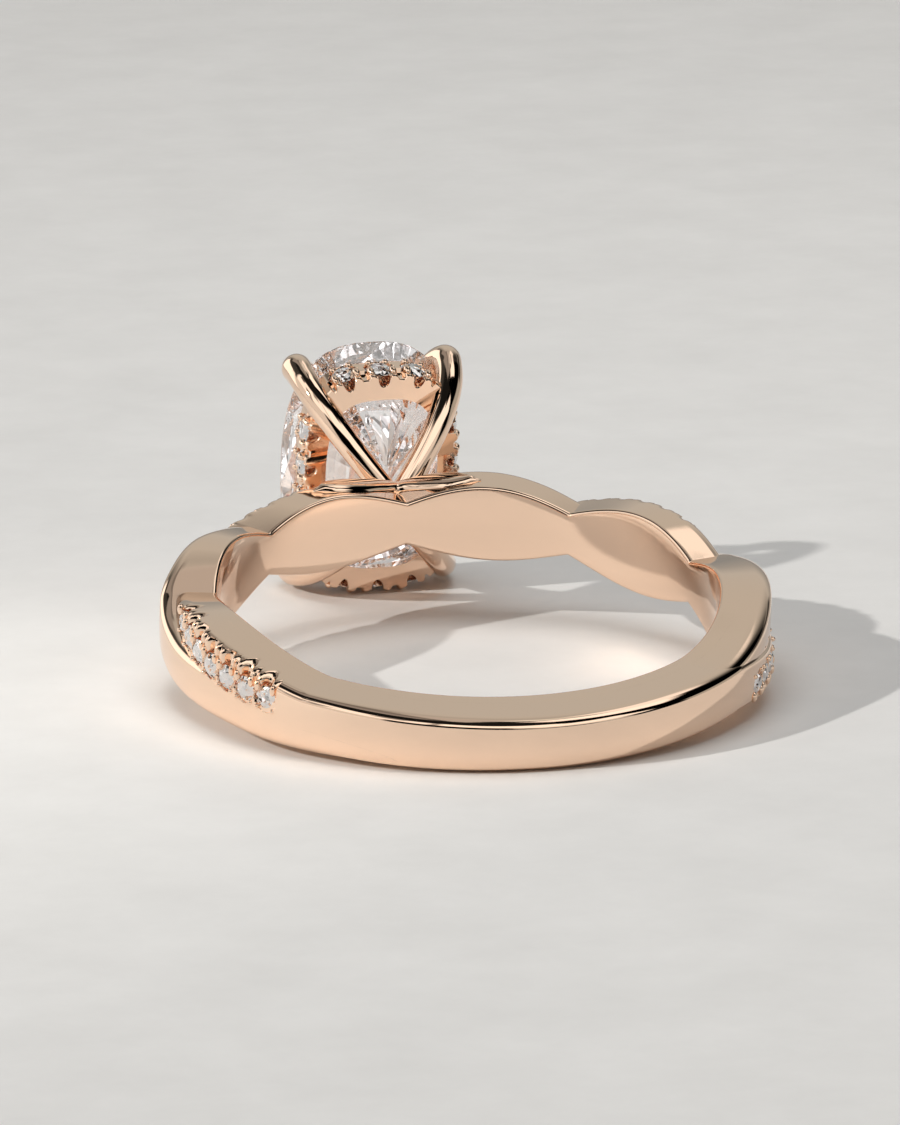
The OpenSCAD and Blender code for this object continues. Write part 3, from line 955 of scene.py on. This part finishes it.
gold = rose_gold()
clear = diamond("clear_diamond", CENTRE_TINT, 0.0)
small_clear = diamond("small_diamond", SMALL_TINT, SMALL_LUSTRE, small=True)
gold_piece("finger_lining", lining_shape(), STRAND_SMOOTH)
gold_piece("polished_strand", strand_shape(POLISHED), STRAND_SMOOTH)
gold_piece("stone_set_strand", strand_shape(STONE_SET), STRAND_SMOOTH)
claw = claw_shape()
for number, signs in enumerate([(1, 1, 1), (-1, 1, 1), (1, 1, -1), (-1, 1, -1)], 1):
    gold_piece(f"claw_{number}", mirrored(claw, signs), CLAW_SMOOTH)
leaf = leaf_shape()
gold_piece("claw_feet", joined([leaf, mirrored(leaf, (-1, 1, -1))]), CLAW_SMOOTH)
gold_piece("halo_wall", halo_shape(), HALO_SMOOTH)
gold_piece("halo_beads", halo_beads(), BEAD_SMOOTH)
gold_piece("shank_prongs", shank_prongs(), BEAD_SMOOTH)
diamond_piece("centre_diamond", centre_stone_shape(), clear, "centre_stone")
for number, place in enumerate(HALO_PLACES, 1):
    diamond_piece(f"halo_diamond_{number}", halo_stone_shape(place), small_clear, f"halo_stone_{number}")
for side, word in ((-1, "left"), (1, "right")):
    diamond_piece(f"shank_diamonds_{word}", shank_stones_shape(side), small_clear, f"shank_stones_{word}")

# The floor, the light and the camera

FLOOR_HALF = 1.5
floor_mesh = bpy.data.meshes.new("floor")
floor_corners = [(-FLOOR_HALF, -FLOOR_HALF, 0), (FLOOR_HALF, -FLOOR_HALF, 0), (FLOOR_HALF, FLOOR_HALF, 0),
                 (-FLOOR_HALF, FLOOR_HALF, 0)]
floor_mesh.from_pydata(floor_corners, [], [(0, 1, 2, 3)])
floor_mesh.materials.append(floor_finish())
floor = bpy.data.objects.new("floor", floor_mesh)
bpy.context.scene.collection.objects.link(floor)


def way(azimuth, elevation):
    """A unit vector: azimuth 0 is +y and 90 is +x, elevation is above the floor."""
    a, e = np.radians(azimuth), np.radians(elevation)
    return np.array([np.sin(a) * np.cos(e), np.cos(a) * np.cos(e), np.sin(e)])


def facing(obj, back, roll=0.0):
    """Turns a light or the camera so that it looks against back, which points out of its rear."""
    side = unit(np.cross([0, 0, 1.0], back))
    up = np.cross(back, side)
    turn = np.radians(roll)
    x, y = np.cos(turn) * side + np.sin(turn) * up, np.cos(turn) * up - np.sin(turn) * side
    matrix = np.eye(4)
    matrix[:3, 0], matrix[:3, 1], matrix[:3, 2], matrix[:3, 3] = x, y, back, obj.location
    obj.matrix_world = Matrix(matrix)


# Tints of the walls and of the soft boxes
COOL = (0.95, 0.985, 0.95)
WARM = (1.0, 0.98, 0.95)

# Greys of the walls by the sine of the elevation. The lit wall behind the ring has its azimuth, and the
# degrees off it beyond which it ends and within which it is whole.
WALLS = [(0.0, 0.46), (0.36, 0.42), (0.46, 0.07), (0.85, 0.04), (0.9, 0.01), (1.0, 0.01)]
BACK_WALL = [(0.0, 0.27), (0.21, 0.38), (0.37, 0.54), (0.71, 0.56), (0.83, 0.46), (0.87, 0.5), (0.905, 0.9),
             (0.93, 1.0), (0.945, 0.02)]
BACK_WALL_WAY = 17
BACK_WALL_EDGE = (38, 12)

# The tent that the stones gather light from: greys by a cell's chance, the cells' scale and a pink tint
SPARKLE = [(0.0, 0.01), (0.35, 0.22), (0.55, 0.62), (0.8, 1.15), (1.0, 2.5)]
SPARKLE_CELLS = 7
BLUSH = (1.0, 0.9, 0.895, 1)

# Flags and soft boxes: azimuth, half width, lowest and highest elevation in degrees, grey
SOFT_BOXES = [
    (88, 31, 22, 80, 0.0),
    (118, 12, 3, 29, 0.0),
    (58, 13, 11, 23, 0.05),
    (-4, 13, 57, 80, 0.2),
    (17, 10, 61, 84, 0.5),
    (66, 19, 53, 76, 1.3),
    (42, 10, 47, 60, 1.1),
    (163, 44, 28, 63, 1.25),
    (131, 14, 54, 67, 0.0),
    (152, 19, 12, 28, 0.8),
    (163, 17, -4, 12, 0.1),
    (250, 40, 29, 61, 1.2),
    (231, 8, 50, 63, 0.35),
    (277, 8, 53, 64, 0.1),
    (258, 38, -5, 29, 0.75),
    (258, 6, 25, 47, 0.3),
    (318, 22, -5, 35, 1.4),
    (340, 13, 46, 84, 0.3),
    (203, 24, -4, 34, 0.0)]
BOX_EDGE = 2.5
MATT_GREY = (0.12, 0.12, 0.12, 1)

# The sun: azimuth, elevation, energy, angle across and colour
KEY_WAY = (262.7, 31)
KEY_ENERGY = 1.95
KEY_ANGLE = 1.6
KEY_COLOUR = (1.0, 0.98, 0.95)

# The disk overhead: its height and width in metres, and its energy
FILL_HEIGHT = 0.2
FILL_SIZE = 0.2
FILL_ENERGY = 0.215

# Pools of light on the floor: place of the lamp in metres, energy, angle
POOLS = [
    ((-0.044, -0.002, 0.2), 0.4, 24),
    ((-0.0145, 0.003, 0.1), 0.13, 9),
    ((-0.0105, -0.0135, 0.06), 0.04, 9)]
POOL_COLOUR = (1.0, 0.98, 0.93)
POOL_LAMP_R = 0.01


def hung(name, kind, energy):
    """A new lamp of a kind and the object that holds it."""
    lamp = bpy.data.lights.new(name, kind)
    lamp.energy = energy
    holder = bpy.data.objects.new(name, lamp)
    bpy.context.scene.collection.objects.link(holder)
    return lamp, holder


def hide_from_mirrors(holder):
    """Keeps a lamp out of what the metal mirrors and the stones let through."""
    holder.visible_glossy = False
    holder.visible_transmission = False


def key_light():
    """A small hard lamp from the left: its shadows fall to the right and a little back."""
    lamp, holder = hung("key", "SUN", KEY_ENERGY)
    lamp.angle = np.radians(KEY_ANGLE)
    lamp.color = KEY_COLOUR
    facing(holder, way(*KEY_WAY))


def fill_light():
    """A soft disk overhead that brightens the floor round the ring."""
    lamp, holder = hung("fill", "AREA", FILL_ENERGY)
    lamp.shape = "DISK"
    lamp.size = FILL_SIZE
    holder.location = (0, 0, FILL_HEIGHT)
    hide_from_mirrors(holder)


def pool_light(name, at, energy, angle):
    """A soft spot on the floor, where the ring's bright sides throw light back."""
    lamp, holder = hung(name, "SPOT", energy)
    lamp.spot_size = np.radians(angle)
    lamp.spot_blend = 1.0
    lamp.shadow_soft_size = POOL_LAMP_R
    lamp.color = POOL_COLOUR
    holder.location = at
    hide_from_mirrors(holder)


def studio():
    """The room. The metal mirrors grey walls under a dark ceiling, a lit wall behind the ring and soft
    boxes round it. The stones gather light from a tent of pale cells, and matt surfaces an even grey."""
    world = bpy.data.worlds.new("studio")
    bpy.context.scene.world = world
    world.use_nodes = True
    tree = world.node_tree
    tree.nodes.clear()
    place = tree.nodes.new("ShaderNodeTexCoord")
    split = tree.nodes.new("ShaderNodeSeparateXYZ")
    tree.links.new(place.outputs["Generated"], split.inputs[0])
    height = split.outputs["Z"]
    ray = tree.nodes.new("ShaderNodeLightPath")
    level = tree.nodes.new("ShaderNodeVectorMath")
    level.operation = "MULTIPLY"
    level.inputs[1].default_value = (1, 1, 0)
    tree.links.new(place.outputs["Generated"], level.inputs[0])
    around = tree.nodes.new("ShaderNodeVectorMath")
    around.operation = "NORMALIZE"
    tree.links.new(level.outputs[0], around.inputs[0])

    def ramp(value, tint, stops):
        """Greys of one tint over a value."""
        made = tree.nodes.new("ShaderNodeValToRGB")
        tree.links.new(value, made.inputs["Fac"])
        while len(made.color_ramp.elements) < len(stops):
            made.color_ramp.elements.new(0.5)
        for element, (at, grey) in zip(made.color_ramp.elements, stops):
            element.position = at
            element.color = (grey * tint[0], grey * tint[1], grey * tint[2], 1)
        return made.outputs["Color"]

    def step(value, low, high):
        """A value's smooth step from low to high."""
        made = tree.nodes.new("ShaderNodeMapRange")
        made.interpolation_type = "SMOOTHSTEP"
        made.inputs["From Min"].default_value = low
        made.inputs["From Max"].default_value = high
        tree.links.new(value, made.inputs["Value"])
        return made.outputs["Result"]

    def times(first, second):
        """Two values multiplied."""
        made = tree.nodes.new("ShaderNodeMath")
        made.operation = "MULTIPLY"
        tree.links.new(first, made.inputs[0])
        tree.links.new(second, made.inputs[1])
        return made.outputs[0]

    def mixed(share, first, second):
        """The first colour where the share is 0 and the second where it is 1."""
        made = tree.nodes.new("ShaderNodeMix")
        made.data_type = "RGBA"
        tree.links.new(share, made.inputs["Factor"])
        for socket, colour in ((made.inputs[6], first), (made.inputs[7], second)):
            if isinstance(colour, tuple):
                socket.default_value = colour
            else:
                tree.links.new(colour, socket)
        return made.outputs[2]

    def sector(azimuth, wide, narrow):
        """1 within narrow degrees of an azimuth, 0 beyond wide degrees of it."""
        made = tree.nodes.new("ShaderNodeVectorMath")
        made.operation = "DOT_PRODUCT"
        tree.links.new(around.outputs[0], made.inputs[0])
        made.inputs[1].default_value = way(azimuth, 0)
        return step(made.outputs["Value"], np.cos(np.radians(wide)), np.cos(np.radians(narrow)))

    def sine(degrees):
        """An elevation as a height on the sphere round the ring."""
        return float(np.sin(np.radians(degrees)))

    behind = sector(BACK_WALL_WAY, *BACK_WALL_EDGE)
    room = mixed(behind, ramp(height, COOL, WALLS), ramp(height, COOL, BACK_WALL))
    for azimuth, half, low, high, grey in SOFT_BOXES:
        share = sector(azimuth, half + BOX_EDGE, half - BOX_EDGE)
        share = times(share, step(height, sine(low - BOX_EDGE), sine(low + BOX_EDGE)))
        share = times(share, step(height, sine(high + BOX_EDGE), sine(high - BOX_EDGE)))
        room = mixed(share, room, (grey * WARM[0], grey * WARM[1], grey * WARM[2], 1))
    cells = tree.nodes.new("ShaderNodeTexVoronoi")
    cells.inputs["Scale"].default_value = SPARKLE_CELLS
    tree.links.new(place.outputs["Generated"], cells.inputs["Vector"])
    chance = tree.nodes.new("ShaderNodeSeparateColor")
    tree.links.new(cells.outputs["Color"], chance.inputs[0])
    tent = ramp(chance.outputs[0], (1, 1, 1), SPARKLE)
    tint = mixed(chance.outputs[1], (1.0, 1.0, 1.0, 1), BLUSH)
    tinted = tree.nodes.new("ShaderNodeVectorMath")
    tinted.operation = "MULTIPLY"
    tree.links.new(tent, tinted.inputs[0])
    tree.links.new(tint, tinted.inputs[1])
    room = mixed(ray.outputs["Is Transmission Ray"], room, tinted.outputs[0])
    room = mixed(ray.outputs["Is Diffuse Ray"], room, MATT_GREY)
    background = tree.nodes.new("ShaderNodeBackground")
    tree.links.new(room, background.inputs["Color"])
    output = tree.nodes.new("ShaderNodeOutputWorld")
    tree.links.new(background.outputs[0], output.inputs["Surface"])


# The camera: what it looks at, in millimetres in the row frame, from how far and which way
LOOK_AT = np.array([-0.451, -1.792, 4.278])
CAMERA_FAR = 300.0
CAMERA_AZIMUTH = 14.35
CAMERA_ELEVATION = 14.835
CAMERA_ROLL = -0.1
FRAME_LONG_SIDE = 1125
FOCAL_PIXELS = 8857.1
SENSOR_WIDTH = 36.0
NEAREST, FURTHEST = 0.01, 10.0


def photo_camera():
    """The camera of the fit to the photograph: its lens is the focal length in pixels as a share of the
    frame's long side."""
    camera = bpy.data.cameras.new("photo_camera")
    camera.sensor_width = SENSOR_WIDTH
    camera.lens = FOCAL_PIXELS * SENSOR_WIDTH / FRAME_LONG_SIDE
    camera.clip_start = NEAREST
    camera.clip_end = FURTHEST
    holder = bpy.data.objects.new("photo_camera", camera)
    bpy.context.scene.collection.objects.link(holder)
    back = way(180 + CAMERA_AZIMUTH, CAMERA_ELEVATION)
    holder.location = MM * (LOOK_AT + CAMERA_FAR * back)
    facing(holder, back, CAMERA_ROLL)
    bpy.context.scene.camera = holder


key_light()
fill_light()
for number, (at, energy, angle) in enumerate(POOLS, 1):
    pool_light(f"pool_{number}", at, energy, angle)
studio()
photo_camera()
bpy.context.scene.view_settings.view_transform = "Standard"

# Light meets many facets before it leaves a stone. The blur keeps bright specks off the metal.
BOUNCES = 32
MIRROR_BOUNCES = 24
STONE_BOUNCES = 24
SPECK_BLUR = 0.3
cycles = bpy.context.scene.cycles
cycles.max_bounces = BOUNCES
cycles.glossy_bounces = MIRROR_BOUNCES
cycles.transmission_bounces = STONE_BOUNCES
cycles.blur_glossy = SPECK_BLUR
